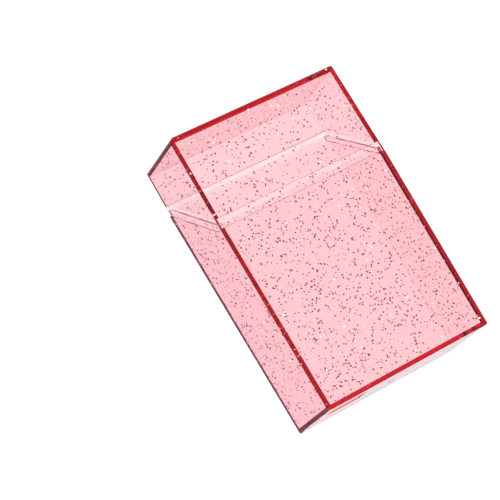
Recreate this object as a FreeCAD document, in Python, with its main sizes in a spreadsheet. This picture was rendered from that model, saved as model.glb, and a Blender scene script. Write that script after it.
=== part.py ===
import FreeCAD, Part
import math
import os

import Sketcher
from FreeCAD import Vector

# A flip-top deck box for cards, moulded in clear tinted plastic.
# It stands on its base: origin at the middle of the base, +Z up through the lid,
# the front face towards -Y and the hinged back face towards +Y. Sizes are millimetres.
#
# The body is a tub whose rim (the shoulder) is level along the front and the back and
# slants up between them. A thin neck stands on the shoulder. The lid has the same slant:
# its walls stop a skirt's height above the shoulder, at the ledge, and a thin outer
# skirt reaches down over the neck. A thin web of plastic at the back is the hinge.

DIMENSIONS = {
    # overall
    "total_height": 95.0,
    "rim_width": 63.0,        # across the body at the front of the shoulder, its widest place
    "rim_depth": 29.6,        # front face to back face at the shoulder
    # mould drafts, in degrees
    "body_draft": 0.45,
    "lid_draft": 0.6,
    # walls
    "body_wall": 1.8,
    "lid_wall": 1.6,
    "base_thickness": 1.5,
    "lid_top_thickness": 1.7,
    # rounding: the upright edges and the end corners are soft, the others nearly crisp
    "end_corner": 1.3,        # between the base or the top and the sides
    "front_upright": 1.2,     # the two upright edges of the front face
    "back_upright": 2.2,      # the two upright edges of the back face
    "edge_rounding": 0.3,     # between the base or the top and the front and back faces
    "inner_corner": 0.2,
    "inside_rounding": 0.3,   # where the pocket's floor meets its walls
    # the slanted shoulder
    "front_rim_height": 63.0,
    "back_rim_height": 79.0,
    "front_land": 3.0,        # level stretch behind the front face
    "back_land": 2.0,         # level stretch before the back face
    # the neck and the skirt over it
    "neck_rise": 1.9,
    "neck_root": 8.0,         # how far the neck's own block reaches down inside the wall
    "neck_corner": 0.35,
    "skirt_rise": 3.6,
    "skirt_thickness": 0.8,
    "neck_clearance": 0.12,
    "rim_clearance": 0.15,
    "lid_inset": 0.05,
    "skirt_end_gap": 2.0,     # the skirt stops this far before the back face
    # the hinge web
    "web_thickness": 0.5,
    "web_end_gap": 2.4,
    # the marks under the base
    "gate_diameter": 2.8,
    "gate_depth": 0.25,
    "gate_offset": 2.2,
    "panel_width": 12.5,
    "panel_length": 7.0,
    "panel_left": 27.0,
    "panel_front": 9.0,
    "panel_depth": 0.2,
    # how far cutting shapes reach past the box
    "overrun": 20.0,
}

doc = FreeCAD.newDocument("deck_box")
sheet = doc.addObject("Spreadsheet::Sheet", "Dimensions")
for row, (alias, value) in enumerate(DIMENSIONS.items(), start=1):
    sheet.set("A%d" % row, alias)
    sheet.set("B%d" % row, str(value))
    sheet.setAlias("B%d" % row, alias)
doc.recompute()


def dim(text):
    """The expression with each dimension's name read from the sheet."""
    for alias in sorted(DIMENSIONS, key=len, reverse=True):
        text = text.replace("{" + alias + "}", "Dimensions." + alias)
    return text


# Half sizes of the faces at the levels where the sketches lie.
BODY_SLOPE = "tan({body_draft} * 1 deg)"
LID_SLOPE = "tan({lid_draft} * 1 deg)"
LID_START = "({front_rim_height} + {rim_clearance})"
LEDGE_BACK = "({back_rim_height} + {skirt_rise})"
BODY_HALF_WIDTH = "({rim_width} / 2 - {front_rim_height} * " + BODY_SLOPE + ")"
BODY_FRONT = "({rim_depth} / 2 - {front_rim_height} * " + BODY_SLOPE + ")"
BODY_BACK = "({rim_depth} / 2 - {back_rim_height} * " + BODY_SLOPE + ")"
LID_HALF_WIDTH = "({rim_width} / 2 - {lid_inset})"
LID_FRONT = "({rim_depth} / 2 - {lid_inset})"
LID_BACK = "({rim_depth} / 2 + (" + LEDGE_BACK + " - " + LID_START + ") * " + LID_SLOPE + ")"
SKIRT_HALF_WIDTH = "(" + LID_HALF_WIDTH + " - {skirt_thickness})"
SKIRT_FRONT = "(" + LID_FRONT + " - {skirt_thickness})"
NECK_HALF_WIDTH = "(" + SKIRT_HALF_WIDTH + " - {neck_clearance})"
NECK_FRONT = "(" + SKIRT_FRONT + " - {neck_clearance})"

TOUCH = 0.01    # how near two places are before they count as the same, in millimetres
FACE_RUN = 1.0  # an edge that stays in the front or back face moves less than this in Y


def value_of(expression):
    """The number that an expression of dimensions stands for now."""
    return float(sheet.evalExpression(dim("(%s) * 1.0" % expression)))


def plane_of(body, role):
    """One of a body's own origin planes."""
    return next(item for item in body.Origin.OriginFeatures if item.Role == role)


def new_body(label):
    body = doc.addObject("PartDesign::Body", label)
    body.Label = label
    return body


def new_sketch(body, name, role, height=None):
    """A sketch on an origin plane, raised along the plane's normal by height."""
    sketch = body.newObject("Sketcher::SketchObject", name)
    sketch.AttachmentSupport = [(plane_of(body, role), "")]
    sketch.MapMode = "FlatFace"
    if height is not None:
        sketch.setExpression("AttachmentOffset.Base.z", dim(height))
    return sketch


def bind(sketch, index, expression):
    sketch.setExpression("Constraints[%d]" % index, dim(expression))


def place_point(sketch, geometry, end, kind, expression):
    """Holds one coordinate of a point at a signed distance from the sketch's origin."""
    value = value_of(expression)
    if value < 0:
        index = sketch.addConstraint(Sketcher.Constraint(kind, geometry, end, -1, 1, -value))
        bind(sketch, index, "-(%s)" % expression)
    else:
        index = sketch.addConstraint(Sketcher.Constraint(kind, -1, 1, geometry, end, value))
        bind(sketch, index, expression)


def outline(sketch, corners):
    """A closed polygon whose corners are pairs of expressions."""
    points = [Vector(value_of(across), value_of(along), 0) for across, along in corners]
    count = len(points)
    for i, point in enumerate(points):
        sketch.addGeometry(Part.LineSegment(point, points[(i + 1) % count]), False)
    for i in range(count):
        sketch.addConstraint(Sketcher.Constraint("Coincident", i, 2, (i + 1) % count, 1))
    for i, (across, along) in enumerate(corners):
        place_point(sketch, i, 1, "DistanceX", across)
        place_point(sketch, i, 1, "DistanceY", along)


def rounded_rectangle(sketch, half_width, front, back, radius):
    """A rectangle centred on the Y axis, from -front to +back, with round corners."""
    hw, fr, bk, r = (value_of(part) for part in (half_width, front, back, radius))
    straights = [
        (Vector(-hw + r, -fr, 0), Vector(hw - r, -fr, 0)),
        (Vector(hw, -fr + r, 0), Vector(hw, bk - r, 0)),
        (Vector(hw - r, bk, 0), Vector(-hw + r, bk, 0)),
        (Vector(-hw, bk - r, 0), Vector(-hw, -fr + r, 0)),
    ]
    centres = [
        Vector(hw - r, -fr + r, 0),
        Vector(hw - r, bk - r, 0),
        Vector(-hw + r, bk - r, 0),
        Vector(-hw + r, -fr + r, 0),
    ]
    for straight in straights:
        sketch.addGeometry(Part.LineSegment(*straight), False)
    for i, centre in enumerate(centres):
        circle = Part.Circle(centre, Vector(0, 0, 1), r)
        start = math.radians(90 * i - 90)
        sketch.addGeometry(Part.ArcOfCircle(circle, start, start + math.radians(90)), False)
    for i in range(4):
        sketch.addConstraint(Sketcher.Constraint("Tangent", i, 2, 4 + i, 1))
        sketch.addConstraint(Sketcher.Constraint("Tangent", 4 + i, 2, (i + 1) % 4, 1))
    for i, kind in enumerate(("Horizontal", "Vertical", "Horizontal", "Vertical")):
        sketch.addConstraint(Sketcher.Constraint(kind, i))
    for i in range(3):
        sketch.addConstraint(Sketcher.Constraint("Equal", 4 + i, 5 + i))
    bind(sketch, sketch.addConstraint(Sketcher.Constraint("Radius", 4, r)), radius)
    place_point(sketch, 1, 1, "DistanceX", half_width)
    place_point(sketch, 3, 1, "DistanceX", "-(%s)" % half_width)
    place_point(sketch, 0, 1, "DistanceY", "-(%s)" % front)
    place_point(sketch, 2, 1, "DistanceY", back)


def rectangle(sketch, half_width, front, back):
    """A rectangle with sharp corners, centred on the Y axis, from -front to +back."""
    left, near = "-(%s)" % half_width, "-(%s)" % front
    outline(sketch, [(left, near), (half_width, near), (half_width, back), (left, back)])


def pad(body, name, sketch, length, taper=None):
    """Material added upwards from a sketch. A positive taper widens it as it rises."""
    feature = body.newObject("PartDesign::Pad", name)
    feature.Profile = sketch
    feature.Type = "Length"
    feature.setExpression("Length", dim(length))
    if taper is not None:
        feature.setExpression("TaperAngle", dim(taper))
    doc.recompute()
    return feature


def pocket_up(body, name, sketch, length, taper=None):
    """Material taken away upwards from a sketch, widening with a positive taper."""
    feature = body.newObject("PartDesign::Pocket", name)
    feature.Profile = sketch
    feature.Type = "Length"
    feature.Reversed = True
    feature.setExpression("Length", dim(length))
    if taper is not None:
        feature.setExpression("TaperAngle", dim(taper))
    doc.recompute()
    return feature


def cut_across(body, name, sketch):
    """Material taken away right across the box, along X, both ways from the sketch."""
    feature = body.newObject("PartDesign::Pocket", name)
    feature.Profile = sketch
    feature.Type = "Length"
    feature.Midplane = True
    feature.setExpression("Length", dim("2 * ({rim_width} + {overrun})"))
    doc.recompute()
    return feature


def slant_profile(sketch, rise, above):
    """The region above or below the shoulder's line, raised square to it by rise.

    The corners where the line turns move forwards by rise times the tangent of half the
    slant, so that the raised line stays parallel to the shoulder everywhere.
    """
    run = "({rim_depth} - {front_land} - {back_land})"
    climb = "({back_rim_height} - {front_rim_height})"
    shift = "((" + rise + ") * tan(atan(" + climb + " / " + run + ") / 2))"
    far = "({total_height} + {overrun})" if above else "(-{overrun})"
    reach = "({rim_depth} / 2 + {overrun})"
    low = "({front_rim_height} + " + rise + ")"
    high = "({back_rim_height} + " + rise + ")"
    outline(sketch, [
        ("-" + reach, low),
        ("-{rim_depth} / 2 + {front_land} - " + shift, low),
        ("{rim_depth} / 2 - {back_land} - " + shift, high),
        (reach, high),
        (reach, far),
        ("-" + reach, far),
    ])


def round_edges(body, name, radius, wanted):
    """Rounds the edges for which wanted(edge) holds."""
    base = body.Tip
    names = ["Edge%d" % (i + 1) for i, edge in enumerate(base.Shape.Edges) if wanted(edge)]
    feature = body.newObject("PartDesign::Fillet", name)
    feature.Base = (base, names)
    feature.setExpression("Radius", dim(radius))
    doc.recompute()
    return feature


def combine(body, other, name, kind):
    """Joins another body into this one: a Cut takes it away, a Common keeps what both fill."""
    feature = body.newObject("PartDesign::Boolean", name)
    feature.setObjects([other])
    feature.Type = kind
    doc.recompute()
    return feature


def soft_block(body, sides, start, length, taper, far_end):
    """A tapered block with soft upright edges, soft ends and nearly crisp long edges.

    The upright edges are rounded on one block. Its twin has the soft ends, then a fine
    rounding round its front and back faces. The box is what the two blocks share. The
    end away from far_end keeps its edges, because it is cut away later.
    """
    def at_other_end(edge):
        box = edge.BoundBox
        return box.ZLength < TOUCH and abs(box.ZMin - far_end) > TOUCH

    twin = new_body(body.Label + "_ends")
    for block in (body, twin):
        sketch = new_sketch(block, block.Label + "_outline", "XY_Plane", start)
        rectangle(sketch, *sides)
        pad(block, block.Label + "_block", sketch, length, taper)
    for side, facing in (("front", -1), ("back", 1)):
        round_edges(body, body.Label + "_%s_uprights" % side, "{%s_upright}" % side,
                    lambda edge: edge.BoundBox.ZLength > FACE_RUN
                    and edge.BoundBox.Center.y * facing > FACE_RUN
                    and edge.BoundBox.YLength < FACE_RUN)
    round_edges(twin, twin.Label + "_corners", "{end_corner}",
                lambda edge: edge.BoundBox.YLength > FACE_RUN and not at_other_end(edge))
    round_edges(twin, twin.Label + "_edges", "{edge_rounding}",
                lambda edge: edge.BoundBox.YLength < FACE_RUN and not at_other_end(edge))
    combine(body, twin, body.Label + "_soft", "Common")


# Body shell: the tub with its slanted shoulder and thin neck ---------------------------
body_shell = new_body("body_shell")

soft_block(body_shell, (BODY_HALF_WIDTH, BODY_FRONT, BODY_BACK), "0",
           "{back_rim_height}", "{body_draft}", 0)

above_shoulder = new_sketch(body_shell, "above_shoulder", "YZ_Plane")
slant_profile(above_shoulder, "0", True)
cut_across(body_shell, "shoulder_cut", above_shoulder)

neck_outline = new_sketch(
    body_shell, "neck_outline", "XY_Plane", "{front_rim_height} - {neck_root}")
rounded_rectangle(neck_outline, NECK_HALF_WIDTH, NECK_FRONT, NECK_FRONT, "{neck_corner}")
pad(body_shell, "neck_block", neck_outline,
    "{back_rim_height} + {neck_rise} - {front_rim_height} + {neck_root}")

above_neck = new_sketch(body_shell, "above_neck", "YZ_Plane")
slant_profile(above_neck, "{neck_rise}", True)
cut_across(body_shell, "neck_cut", above_neck)

pocket_outline = new_sketch(body_shell, "pocket_outline", "XY_Plane", "{base_thickness}")
rounded_rectangle(
    pocket_outline,
    BODY_HALF_WIDTH + " - {body_wall}",
    BODY_FRONT + " - {body_wall}",
    BODY_BACK + " - {body_wall}",
    "{inner_corner}",
)
pocket_up(body_shell, "card_pocket", pocket_outline,
          "{total_height} + {overrun}", "{body_draft}")

gate_outline = new_sketch(body_shell, "gate_outline", "XY_Plane")
gate_centre = Vector(0, value_of("{gate_offset}"), 0)
gate_radius = value_of("{gate_diameter} / 2")
gate_outline.addGeometry(Part.Circle(gate_centre, Vector(0, 0, 1), gate_radius), False)
gate_outline.addConstraint(Sketcher.Constraint("PointOnObject", 0, 3, -2))
bind(gate_outline, gate_outline.addConstraint(
    Sketcher.Constraint("Radius", 0, gate_radius)), "{gate_diameter} / 2")
place_point(gate_outline, 0, 3, "DistanceY", "{gate_offset}")
pocket_up(body_shell, "gate_mark", gate_outline, "{gate_depth}")

panel_outline = new_sketch(body_shell, "panel_outline", "XY_Plane")
outline(panel_outline, [
    ("-{panel_left}", "-{panel_front}"),
    ("-{panel_left} + {panel_width}", "-{panel_front}"),
    ("-{panel_left} + {panel_width}", "-{panel_front} + {panel_length}"),
    ("-{panel_left}", "-{panel_front} + {panel_length}"),
])
pocket_up(body_shell, "blank_panel", panel_outline, "{panel_depth}")

pocket_floor = value_of("{base_thickness}")
round_edges(
    body_shell, "pocket_floor_edge", "{inside_rounding}",
    lambda edge: abs(edge.BoundBox.ZMin - pocket_floor) < TOUCH
    and abs(edge.BoundBox.ZMax - pocket_floor) < TOUCH,
)

# Lid shell: the cover, with the thin skirt that reaches over the neck ------------------
skirt_recess = new_body("skirt_recess")
recess_outline = new_sketch(skirt_recess, "recess_outline", "XY_Plane",
                            LID_START + " - {overrun}")
rounded_rectangle(recess_outline, SKIRT_HALF_WIDTH, SKIRT_FRONT, "{rim_depth}", "{neck_corner}")
pad(skirt_recess, "recess_block", recess_outline,
    LEDGE_BACK + " - " + LID_START + " + 2 * {overrun}")
relief_outline = new_sketch(skirt_recess, "relief_outline", "XY_Plane",
                            LID_START + " - {overrun}")
outline(relief_outline, [
    ("-{rim_width}", "{rim_depth} / 2 - {skirt_end_gap}"),
    ("{rim_width}", "{rim_depth} / 2 - {skirt_end_gap}"),
    ("{rim_width}", "{rim_depth}"),
    ("-{rim_width}", "{rim_depth}"),
])
pad(skirt_recess, "relief_block", relief_outline,
    LEDGE_BACK + " - " + LID_START + " + 2 * {overrun}")
above_ledge = new_sketch(skirt_recess, "above_ledge", "YZ_Plane")
slant_profile(above_ledge, "{skirt_rise}", True)
cut_across(skirt_recess, "ledge_cut", above_ledge)

lid_shell = new_body("lid_shell")
soft_block(lid_shell, (LID_HALF_WIDTH, LID_FRONT, LID_BACK), LID_START,
           "{total_height} - " + LID_START, "-{lid_draft}", value_of("{total_height}"))

below_rim = new_sketch(lid_shell, "below_rim", "YZ_Plane")
slant_profile(below_rim, "{rim_clearance}", False)
cut_across(lid_shell, "rim_cut", below_rim)

hollow_outline = new_sketch(lid_shell, "hollow_outline", "XY_Plane", LID_START)
rounded_rectangle(
    hollow_outline,
    LID_HALF_WIDTH + " - {lid_wall}",
    LID_FRONT + " - {lid_wall}",
    LID_BACK + " - {lid_wall}",
    "{inner_corner}",
)
pocket_up(lid_shell, "lid_hollow", hollow_outline,
          "{total_height} - {lid_top_thickness} - " + LID_START, "-{lid_draft}")

combine(lid_shell, skirt_recess, "skirt_step", "Cut")

# Hinge web: the thin strip at the back that bends --------------------------------------
hinge_web = new_body("hinge_web")
web_outline = new_sketch(hinge_web, "web_outline", "XY_Plane", "{back_rim_height}")
outline(web_outline, [
    ("-{rim_width} / 2 + {web_end_gap}", "{rim_depth} / 2 - {web_thickness}"),
    ("{rim_width} / 2 - {web_end_gap}", "{rim_depth} / 2 - {web_thickness}"),
    ("{rim_width} / 2 - {web_end_gap}", "{rim_depth} / 2"),
    ("-{rim_width} / 2 + {web_end_gap}", "{rim_depth} / 2"),
])
pad(hinge_web, "web_strip", web_outline, "{skirt_rise}")

# Check and write -----------------------------------------------------------------------
doc.recompute()
for item in doc.Objects:
    for fault in ("Invalid", "Error"):
        if fault in item.State:
            raise RuntimeError("%s is %s" % (item.Name, fault))

os.makedirs("parts", exist_ok=True)
for node in (body_shell, hinge_web, lid_shell):
    shape = node.Shape
    if shape.isNull() or not shape.isValid() or len(shape.Solids) != 1:
        raise RuntimeError("%s is not one sound solid" % node.Label)
    box = shape.optimalBoundingBox(False)
    print("%s: %.1f mm3, x %.2f..%.2f, y %.2f..%.2f, z %.2f..%.2f" % (
        node.Label, shape.Volume, box.XMin, box.XMax, box.YMin, box.YMax, box.ZMin, box.ZMax))
for node in (body_shell, hinge_web, lid_shell):
    node.Shape.exportStep("parts/%s.step" % node.Label)
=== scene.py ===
# %% [markdown]
# # A clear, glitter-filled flip-top card box
#
# The real box is two clear plastic shells joined by a thin strip of the same plastic that
# bends, with fine metal glitter stirred into the melt before it was moulded. The shells
# come ready made as CAD parts. This script lights them, gives the plastic its tint, and
# makes what the CAD leaves out: the bending strip with its groove, and the glitter.

import math

import bpy
import numpy as np
from mathutils import Matrix, Vector


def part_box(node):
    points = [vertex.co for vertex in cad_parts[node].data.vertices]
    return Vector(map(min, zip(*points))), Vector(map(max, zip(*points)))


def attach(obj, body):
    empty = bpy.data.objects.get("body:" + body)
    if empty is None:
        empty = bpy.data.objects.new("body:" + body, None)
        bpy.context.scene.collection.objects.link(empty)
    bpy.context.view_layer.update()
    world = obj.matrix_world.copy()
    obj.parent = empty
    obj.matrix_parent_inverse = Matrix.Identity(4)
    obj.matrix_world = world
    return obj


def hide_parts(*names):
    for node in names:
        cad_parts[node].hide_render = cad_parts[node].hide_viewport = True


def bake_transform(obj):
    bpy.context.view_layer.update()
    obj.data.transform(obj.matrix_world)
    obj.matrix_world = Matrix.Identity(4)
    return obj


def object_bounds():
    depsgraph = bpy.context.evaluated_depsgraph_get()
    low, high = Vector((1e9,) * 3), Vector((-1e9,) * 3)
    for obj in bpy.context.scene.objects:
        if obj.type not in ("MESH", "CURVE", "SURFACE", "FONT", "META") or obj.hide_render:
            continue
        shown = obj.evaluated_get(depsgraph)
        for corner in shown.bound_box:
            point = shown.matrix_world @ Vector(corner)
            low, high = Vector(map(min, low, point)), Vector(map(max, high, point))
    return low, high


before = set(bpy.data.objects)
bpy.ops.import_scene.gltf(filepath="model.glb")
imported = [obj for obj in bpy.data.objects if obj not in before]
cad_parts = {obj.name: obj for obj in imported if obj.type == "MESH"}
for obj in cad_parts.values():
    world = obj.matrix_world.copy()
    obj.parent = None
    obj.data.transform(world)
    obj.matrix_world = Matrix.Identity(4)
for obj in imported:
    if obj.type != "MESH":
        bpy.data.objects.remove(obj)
cad_low, cad_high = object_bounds()
MM = 0.001
print("CAD nodes:", sorted(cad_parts))
print("CAD box in mm:", [round(float(v) / MM, 2) for v in (*cad_low, *cad_high)])

# %% [markdown]
# ## The camera
#
# The box is seen from its left and from slightly under its base, with a long lens, and
# leaning over to the left. Instead of tipping the box over, the camera is tipped: its
# three directions are written down as vectors and put into the columns of a matrix. A
# camera in Blender looks along its own -Z, with its own +Y up the picture.

# %% Camera
scene = bpy.context.scene
camera_data = bpy.data.cameras.new("camera")
camera = bpy.data.objects.new("camera", camera_data)
scene.collection.objects.link(camera)
scene.camera = camera
camera_data.lens = 142.2
camera_data.sensor_width = 36.0
camera_data.clip_start = 0.01
camera_data.clip_end = 20.0

view_direction = Vector((0.4291, 0.8900, 0.1540)).normalized()
view_up = Vector((0.4006, -0.3404, 0.8507))
view_right = view_direction.cross(view_up).normalized()
view_up = view_right.cross(view_direction)
turned = Matrix((view_right, view_up, -view_direction)).transposed().to_4x4()
camera.matrix_world = Matrix.Translation(Vector((-280.4, -540.5, -37.5)) * MM) @ turned
print("camera elevation in degrees:", round(-math.degrees(math.asin(view_direction.z)), 1))

# %% [markdown]
# ## Colours and nodes
#
# Colours are easiest to choose as sRGB hex codes, but shaders work with linear light, so
# one function turns the first into the second. Another adds a node to a material with its
# settings and links in one line. Every material below is built with these two.

# %% Helpers for colours and nodes
def linear(hex_code):
    """A hex colour as linear light: ((s + 0.055) / 1.055) to the power 2.4, or s / 12.92."""
    s = np.array([int(hex_code[i:i + 2], 16) for i in (1, 3, 5)]) / 255
    rgb = np.where(s > 0.04045, ((s + 0.055) / 1.055) ** 2.4, s / 12.92)
    return (*map(float, rgb), 1.0)


def add_node(tree, kind, links=None, **settings):
    """Adds a node. A setting is an attribute of the node or the value of an input.

    links maps an input to the output that feeds it, and an input's name has spaces where
    the setting has underscores.
    """
    node = tree.nodes.new(kind)
    for name, value in settings.items():
        if hasattr(node, name):
            setattr(node, name, value)
        else:
            node.inputs[name.replace("_", " ")].default_value = value
    for name, output in (links or {}).items():
        tree.links.new(output, node.inputs[name])
    return node


def new_material(name):
    """A material with an empty node tree."""
    material = bpy.data.materials.new(name)
    material.use_nodes = True
    material.node_tree.nodes.clear()
    return material, material.node_tree


print("linear value of mid grey:", round(linear("#808080")[0], 3))

# %% [markdown]
# ## The studio
#
# Clear plastic has little colour of its own to show. What the eye reads is the bright room
# behind it, dimmed by the dye, so the backdrop is plain and a little brighter than white.
# A polished edge mirrors the room too, and looks paler in a room that is white all over,
# which is why dark cloths are hung beside clear things. Here a ray whose last bounce was a
# mirrored one finds a dimmer, slightly blue grey, and more of it the further it leaves from
# the way the camera looks. That is set for this one camera. It is a trick, and not a set of
# real cloths. The floor is white, and its shader lets a ray through from underneath, because
# this camera looks up past the edge of the table. One soft lamp stands at the front left.

# %% World, floor and lamp
BACKDROP_STRENGTH = 1.2
DIM_FROM, DIM_FULL = 0.95, 0.75     # cosine of the angle from the way the camera looks
DIM_LEAST = 0.4                     # share of the dimming that every mirrored ray gets

scene.view_settings.view_transform = "Standard"
for kind in ("max_bounces", "transmission_bounces", "glossy_bounces"):
    setattr(scene.cycles, kind, 48)

world = bpy.data.worlds.new("white_room")
world.use_nodes = True
scene.world = world
tree = world.node_tree
ray = add_node(tree, "ShaderNodeLightPath")
mirrored = add_node(tree, "ShaderNodeMath", operation="SUBTRACT")
tree.links.new(ray.outputs["Is Glossy Ray"], mirrored.inputs[0])
tree.links.new(ray.outputs["Is Transmission Ray"], mirrored.inputs[1])
aim = add_node(tree, "ShaderNodeTexCoord").outputs["Generated"]
onward = add_node(tree, "ShaderNodeVectorMath", {0: aim}, operation="DOT_PRODUCT")
onward.inputs[1].default_value = view_direction
aside = add_node(tree, "ShaderNodeMapRange", {"Value": onward.outputs["Value"]})
aside.inputs["From Min"].default_value = DIM_FROM
aside.inputs["From Max"].default_value = DIM_FULL
aside.inputs["To Min"].default_value = DIM_LEAST
dimmed = add_node(tree, "ShaderNodeMath", operation="MULTIPLY")
tree.links.new(mirrored.outputs[0], dimmed.inputs[0])
tree.links.new(aside.outputs[0], dimmed.inputs[1])
room = add_node(tree, "ShaderNodeMix", {"Factor": dimmed.outputs[0]}, data_type="RGBA")
room.inputs[6].default_value = linear("#ffffff")
room.inputs[7].default_value = linear("#a09cb0")
backdrop = tree.nodes["Background"]
backdrop.inputs["Strength"].default_value = BACKDROP_STRENGTH
tree.links.new(room.outputs[2], backdrop.inputs["Color"])

floor_material, tree = new_material("painted_table")
where = add_node(tree, "ShaderNodeTexCoord").outputs["Object"]
mottle = add_node(tree, "ShaderNodeTexNoise", {"Vector": where}, Scale=18.0, Detail=3.0)
paint = add_node(tree, "ShaderNodeMix", {"Factor": mottle.outputs["Fac"]}, data_type="RGBA")
paint.inputs[6].default_value = linear("#f4f3f2")
paint.inputs[7].default_value = linear("#f8f8f7")
matt = add_node(tree, "ShaderNodeBsdfPrincipled", {"Base Color": paint.outputs[2]}, Roughness=0.6)
clear = add_node(tree, "ShaderNodeBsdfTransparent")
side = add_node(tree, "ShaderNodeNewGeometry")
one_way = add_node(tree, "ShaderNodeMixShader", {"Fac": side.outputs["Backfacing"]})
tree.links.new(matt.outputs[0], one_way.inputs[1])
tree.links.new(clear.outputs[0], one_way.inputs[2])
add_node(tree, "ShaderNodeOutputMaterial", {"Surface": one_way.outputs[0]})

floor_mesh = bpy.data.meshes.new("floor")
half, drop = 3.0, -0.05 * MM
floor_mesh.from_pydata(
    [(-half, -half, drop), (half, -half, drop), (half, half, drop), (-half, half, drop)],
    [], [(0, 1, 2, 3)])
floor = bpy.data.objects.new("floor", floor_mesh)
scene.collection.objects.link(floor)
floor_mesh.materials.append(floor_material)
floor.visible_glossy = floor.visible_transmission = False


def soft_lamp(name, place, size, watts):
    """A square area lamp at a place in metres, turned to face the middle of the box."""
    data = bpy.data.lights.new(name, "AREA")
    data.size, data.energy = size, watts
    lamp = bpy.data.objects.new(name, data)
    scene.collection.objects.link(lamp)
    aim = Vector((0, 0, 0.05)) - Vector(place)
    lamp.matrix_world = (
        Matrix.Translation(place) @ aim.to_track_quat("-Z", "Y").to_matrix().to_4x4())
    return lamp


soft_lamp("key_lamp", (-0.5, -0.6, 0.9), 0.6, 2.0)
print("floor and lamp ready")

# %% [markdown]
# ## The plastic
#
# The shells are taken to be clarified polypropylene, moulded against polished steel, with a
# rose dye in the melt. Light passes straight through a wall and loses a little green and
# blue on every millimetre, so one wall looks pale pink. An edge is seen along its length,
# where light has crossed centimetres of plastic, so it looks deep red. A surface colour
# can't do that. The tint is therefore a Volume Absorption inside the shell.

# %% Tinted plastic
def tinted_plastic(name, absorb_hex, density, roughness):
    """Moulded clear plastic: a smooth refracting skin over an absorbing inside.

    A colour channel keeps exp(-density x (1 - its linear value) x distance) of its light.
    """
    material, tree = new_material(name)
    where = add_node(tree, "ShaderNodeTexCoord").outputs["Object"]
    # Flow streaks some 30 mm long, which tint the skin by under two percent.
    streaks = add_node(tree, "ShaderNodeTexNoise", {"Vector": where}, Scale=30.0, Detail=2.0)
    skin = add_node(tree, "ShaderNodeMix", {"Factor": streaks.outputs["Fac"]},
                    data_type="RGBA")
    skin.inputs[6].default_value = linear("#fdfdfd")
    skin.inputs[7].default_value = linear("#ffffff")
    # No moulded wall is quite flat: waves about 12 mm long bend what it mirrors.
    waves = add_node(tree, "ShaderNodeTexNoise", {"Vector": where}, Scale=80.0, Detail=1.0)
    bump = add_node(tree, "ShaderNodeBump", {"Height": waves.outputs["Fac"]},
                    Strength=0.25, Distance=0.05 * MM)
    shell = add_node(
        tree, "ShaderNodeBsdfPrincipled",
        {"Base Color": skin.outputs[2], "Normal": bump.outputs[0]},
        Roughness=roughness, IOR=1.49)
    shell.inputs["Transmission Weight"].default_value = 1.0
    inside = add_node(tree, "ShaderNodeVolumeAbsorption", Density=density)
    inside.inputs["Color"].default_value = linear(absorb_hex)
    add_node(tree, "ShaderNodeOutputMaterial",
             {"Surface": shell.outputs[0], "Volume": inside.outputs[0]})
    return material


rose_plastic = tinted_plastic("rose_polypropylene", "#f23c67", 176.0, 0.02)
for node in ("body_shell", "lid_shell"):
    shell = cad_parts[node]
    for place in shell.material_slots:
        place.material = rose_plastic
    print(node, "material slots:", len(shell.material_slots), "faces:", len(shell.data.polygons))

# %% [markdown]
# ## The bending strip
#
# At the back the two shells are joined by a strip thin enough to bend. It is given a groove
# along its middle, as such hinges often have, so that it bends at the same line each time.
# The strip is a closed outline carried along the box's width, and the groove's depth follows
# the square of a sine, which fades out at both ends.

# %% Hinge strip
def carried_outline(name, outline, ends):
    """A closed outline in the YZ plane carried along X from one end to the other.

    Vertex (i, j) is outline point j at x = ends[i]. The two end faces close it.
    """
    n, rings = len(outline), len(ends)
    x = np.repeat(ends, n)
    yz = np.tile(outline, (rings, 1))
    vertices = np.column_stack((x, yz))
    j = np.arange(n)
    ring = np.arange(rings - 1)[:, None] * n
    sides = np.stack((ring + j, ring + (j + 1) % n, ring + n + (j + 1) % n, ring + n + j), -1)
    faces = sides.reshape(-1, 4).tolist()
    faces += [j[::-1].tolist(), (j + (rings - 1) * n).tolist()]
    mesh = bpy.data.meshes.new(name)
    mesh.from_pydata(vertices.tolist(), [], faces)
    piece = bpy.data.objects.new(name, mesh)
    scene.collection.objects.link(piece)
    return piece


web_low, web_high = (np.array(corner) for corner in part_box("hinge_web"))
CLEARANCE = 0.01 * MM
GROOVE = 0.18 * MM
up = np.linspace(0, 1, 25)
z = web_low[2] + CLEARANCE + up * (web_high[2] - web_low[2] - 2 * CLEARANCE)
inner_y = web_low[1] + GROOVE * np.sin(math.pi * up) ** 2
outer_y = np.full_like(z, web_high[1])
outline = np.concatenate((np.column_stack((inner_y, z))[::-1], np.column_stack((outer_y, z))))
strip = carried_outline("hinge_strip", outline, np.array([web_low[0], web_high[0]]))
strip.data.materials.append(rose_plastic)
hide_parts("hinge_web")
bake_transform(strip)
print("hinge strip faces:", len(strip.data.polygons))

# %% [markdown]
# ## The glitter
#
# Glitter is often metal-coated film cut into small hexagons. It lies in the plastic itself, so
# it is found at every depth in every wall. To place it, points are scattered evenly through
# the whole box, and each one asks how deep inside the plastic it is. That depth is worked
# out from the same planes that bound the walls: inside a solid made of planes, the depth
# is the smallest distance to any of them, a hollow takes away, and two solids together
# have the larger of their depths.

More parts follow.
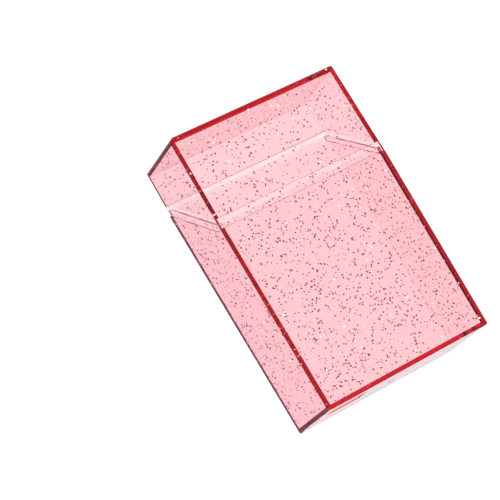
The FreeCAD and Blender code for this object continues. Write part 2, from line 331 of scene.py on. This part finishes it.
# %% How deep a point lies in each shell
BODY_WALL, LID_WALL, BASE, TOP = 1.8, 1.6, 1.5, 1.7
BODY_SLOPE, LID_SLOPE = np.tan(np.radians((0.45, 0.6)))
FRONT_RIM, BACK_RIM, LEVEL_FRONT, LEVEL_BACK = 63.0, 79.0, -11.8, 12.8
SLANT = math.atan2(BACK_RIM - FRONT_RIM, LEVEL_BACK - LEVEL_FRONT)
HALF_WIDTH, HALF_DEPTH, HEIGHT = 31.5, 14.8, float(cad_high.z) / MM
END_CORNER, LONG_EDGE = 1.3, 0.3
UPRIGHTS = (1.2, 2.2)           # round corners of the front and of the back
GATE_RADIUS, GATE_OFFSET, GATE_DEPTH = 1.4, 2.2, 0.25
PANEL_SIZE, PANEL_MIDDLE, PANEL_DEPTH = (12.5, 7.0), (-20.75, -5.5), 0.2
SKIRT, GAP, LEDGE_RISE, NECK_RISE, NECK_ROOT, SKIRT_END = 0.8, 0.12, 3.6, 1.9, 8.0, 12.8
LID_INSET, RIM_GAP, NECK_CORNER = 0.05, 0.15, 0.35


def shoulder(y, rise):
    """Height of the shoulder line raised square to itself by rise: level, slant, level."""
    back_shift = rise * math.tan(SLANT / 2)
    return np.interp(y, (LEVEL_FRONT - back_shift, LEVEL_BACK - back_shift),
                     (FRONT_RIM + rise, BACK_RIM + rise))


def corner_rounded(a, b, r):
    """Depth at a round corner between two faces that lie at distances a and b.

    Where both are under r it is r minus the distance to the arc's centre, and elsewhere
    it is the smaller of the two.
    """
    round_part = r - np.hypot(r - a, r - b)
    return np.where((a < r) & (b < r), round_part, np.minimum(a, b))


def block(p, half_width, front, back, corners):
    """Distance inside four upright walls that meet at round corners."""
    x, y, _ = p
    corner = np.where(y < 0, *corners)
    return corner_rounded(half_width - abs(x), np.minimum(y + front, back - y), corner)


def rounded_end(p, half_width, front, back, height):
    """Distance inside the flat end of a block, height away, and its rounded edges."""
    x, y, _ = p
    sides = corner_rounded(half_width - abs(x), height, END_CORNER)
    return np.minimum(sides, corner_rounded(np.minimum(y + front, back - y), height, LONG_EDGE))


def body_depth(p):
    """Depth below the surface of the body shell, above zero inside the plastic."""
    x, y, z = p
    grow = (z - FRONT_RIM) * BODY_SLOPE
    back = HALF_DEPTH + (z - BACK_RIM) * BODY_SLOPE
    sides = (HALF_WIDTH + grow, HALF_DEPTH + grow, back)
    outside = block(p, *sides, UPRIGHTS)
    pocket = np.maximum(BODY_WALL - outside, BASE - z)
    end = rounded_end(p, *sides, z)
    gate = np.maximum(np.hypot(x, y - GATE_OFFSET) - GATE_RADIUS, z - GATE_DEPTH)
    panel_x, panel_y = abs(x - PANEL_MIDDLE[0]), abs(y - PANEL_MIDDLE[1])
    panel = np.maximum.reduce((
        panel_x - PANEL_SIZE[0] / 2, panel_y - PANEL_SIZE[1] / 2, z - PANEL_DEPTH))
    below_rim = (shoulder(y, 0) - z) * math.cos(SLANT)
    tub = np.minimum.reduce((outside, end, below_rim, gate, panel))
    inset = LID_INSET + SKIRT + GAP
    depth = HALF_DEPTH - inset
    neck = block(p, HALF_WIDTH - inset, depth, depth, (NECK_CORNER, NECK_CORNER))
    neck_top = (shoulder(y, NECK_RISE) - z) * math.cos(SLANT)
    neck = np.minimum.reduce((neck, neck_top, z - FRONT_RIM + NECK_ROOT))
    return np.minimum(np.maximum(tub, neck), pocket)


def lid_depth(p):
    """Depth below the surface of the lid shell, above zero inside the plastic."""
    x, y, z = p
    shrink = LID_INSET + (z - FRONT_RIM) * LID_SLOPE
    back = HALF_DEPTH - (z - BACK_RIM - LEDGE_RISE) * LID_SLOPE
    sides = (HALF_WIDTH - shrink, HALF_DEPTH - shrink, back)
    outside = block(p, *sides, UPRIGHTS)
    hollow = np.maximum(LID_WALL - outside, z - HEIGHT + TOP)
    end = rounded_end(p, *sides, HEIGHT - z)
    rim = (z - shoulder(y, RIM_GAP)) * math.cos(SLANT)
    above_ledge = (z - shoulder(y, LEDGE_RISE)) * math.cos(SLANT)
    in_skirt = np.maximum(abs(x) - HALF_WIDTH, -y - HALF_DEPTH) + LID_INSET + SKIRT
    in_skirt = np.where(y < SKIRT_END, in_skirt, -1.0)
    step = np.maximum(above_ledge, in_skirt)
    return np.minimum.reduce((outside, hollow, end, rim, step))


# %% Scatter the flakes
rng = np.random.default_rng(7)
FLAKES_PER_MM3 = 0.14
FLAKE_SIZES = (0.17, 0.38)      # from the middle of a flake to its corners
HALF_THICK = 0.006
LEAN = 0.1                      # how much the flakes tip from lying flat
SKIN = 0.04                     # plastic left over the flake nearest the surface
PEARL_FROM = 0.88               # the flakes whose number is above this are pearl white
# With all of its flakes an edge looks busy, so 6 in 100 are kept within 2.4 mm of one. Those
# are all pearl.
EDGE, EDGE_SHARE = 2.4, 0.06
EDGE_TONE = PEARL_FROM + 0.1
box_low, box_high = np.array(cad_low) / MM, np.array(cad_high) / MM
tries = int(FLAKES_PER_MM3 * np.prod(box_high - box_low))
points = rng.uniform(box_low, box_high, (tries, 3)).T
print("places tried:", tries)


def wall_direction(p, depth):
    """The direction square to the nearest wall: how the depth grows along each axis."""
    step = 0.02
    ways = [depth(p + step * np.eye(3)[:, [i]]) - depth(p - step * np.eye(3)[:, [i]])
            for i in range(3)]
    ways = np.array(ways)
    return ways / np.maximum(np.linalg.norm(ways, axis=0), 1e-9)


def at_edge(p):
    """Whether a point lies near two faces of the box at once."""
    near = np.array((abs(p[0]) > HALF_WIDTH - EDGE, abs(p[1]) > HALF_DEPTH - EDGE,
                     abs(p[2] - HEIGHT / 2) > HEIGHT / 2 - EDGE))
    return near.sum(axis=0) > 1


def glitter(name, depth):
    """One mesh of hexagonal flakes, each a thin prism of 8 faces.

    A flake's corner k is centre + r (u cos 60k + v sin 60k) +- half thickness times n.
    The direction n is square to the wall, tipped at random, and u and v are square to it.
    A flake is kept where all of its corners lie under the plastic's skin.
    """
    p = points[:, depth(points) > SKIN]
    p = p[:, ~at_edge(p) | (rng.random(p.shape[1]) < EDGE_SHARE)]
    count = p.shape[1]
    n = wall_direction(p, depth) + rng.normal(0, LEAN, (3, count))
    n /= np.linalg.norm(n, axis=0)
    u = np.cross(n.T, rng.normal(size=(count, 3)))
    u = (u / np.linalg.norm(u, axis=1)[:, None]).T
    v = np.cross(n.T, u.T).T
    angle = np.radians(60 * np.arange(6))[:, None]
    radius = rng.uniform(*FLAKE_SIZES, count)
    flat = radius * (u[:, None] * np.cos(angle) + v[:, None] * np.sin(angle))
    thick = HALF_THICK * n[:, None]
    corners = np.concatenate((p[:, None] + flat + thick, p[:, None] + flat - thick), axis=1)
    kept = (depth(corners) > SKIN).all(axis=0)
    vertices = corners[..., kept].transpose(2, 1, 0).reshape(-1, 3) * MM
    count = int(kept.sum())
    k = np.arange(6)
    first = (np.arange(count) * 12)[:, None, None]
    rims = np.stack((k, k + 6, (k + 1) % 6 + 6, (k + 1) % 6), -1)[None] + first
    caps = np.stack((k, 11 - k))[None] + first
    faces = rims.reshape(-1, 4).tolist() + caps.reshape(-1, 6).tolist()
    mesh = bpy.data.meshes.new(name)
    mesh.from_pydata(vertices.tolist(), [], faces)
    tones = np.where(at_edge(p[:, kept]), EDGE_TONE, rng.random(count))
    tone = mesh.attributes.new("flake_tone", "FLOAT", "POINT")
    tone.data.foreach_set("value", np.repeat(tones, 12).astype(np.float32))
    pearly = (tones > PEARL_FROM).astype(np.int32)
    mesh.polygons.foreach_set(
        "material_index", np.concatenate((np.repeat(pearly, 6), np.repeat(pearly, 2))))
    piece = bpy.data.objects.new(name, mesh)
    scene.collection.objects.link(piece)
    print(name, "flakes:", count, "faces:", len(mesh.polygons))
    return piece


body_glitter = glitter("body_glitter", body_depth)
lid_glitter = glitter("lid_glitter", lid_depth)
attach(body_glitter, "box")
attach(lid_glitter, "lid")

# %% [markdown]
# ### The glitter's films, with painted shade on most flakes
#
# Two films are mixed. Most flakes are metal, dull mirrors a third to three quarters of a
# millimetre across. Their colour, in dark rose shades, is painted shade: it takes away much of
# what they mirror, so they look like dark specks, as a flake does that blocks the light and
# mirrors the dim side of the room. One in eight is pearl film. The real film gives off no light,
# but this one does, a little, so that it reads as a bright speck through the tint. Every flake
# has a random number of its own, and a Color Ramp turns it into a shade.

# %% Glitter films
def flake_film(name, shades, metallic, roughness, glint):
    """Glitter film whose shade is picked from a ramp by each flake's own number.

    glint is light that a flake gives off by itself, in place of flashes from real lamps.
    """
    material, tree = new_material(name)
    tone = add_node(tree, "ShaderNodeAttribute", attribute_name="flake_tone")
    ramp = add_node(tree, "ShaderNodeValToRGB", {"Fac": tone.outputs["Fac"]})
    stops = ramp.color_ramp.elements
    for stop, (position, code) in zip(stops, shades):
        stop.position, stop.color = position, linear(code)
    for position, code in shades[2:]:
        stops.new(position).color = linear(code)
    film = add_node(tree, "ShaderNodeBsdfPrincipled", {"Base Color": ramp.outputs["Color"]},
                    Metallic=metallic, Roughness=roughness, Emission_Strength=glint)
    film.inputs["Emission Color"].default_value = linear("#ffffff")
    add_node(tree, "ShaderNodeOutputMaterial", {"Surface": film.outputs[0]})
    return material


# These dark rose shades are painted shade, which makes most flakes look like dark specks.
painted_shade_film = flake_film(
    "metal_film_painted_shade", [(0.0, "#8c2c44"), (0.3, "#b84c60"), (0.5, "#c88692"), (0.85, "#ccc0c2")],
    1.0, 0.35, 0.0)
pearl_film = flake_film("pearl_film", [(0.88, "#e8e0e0"), (1.0, "#ffffff")], 0.0, 0.3, 0.7)
for piece in (body_glitter, lid_glitter):
    piece.data.materials.append(painted_shade_film)
    piece.data.materials.append(pearl_film)
print("films:", painted_shade_film.name, pearl_film.name)
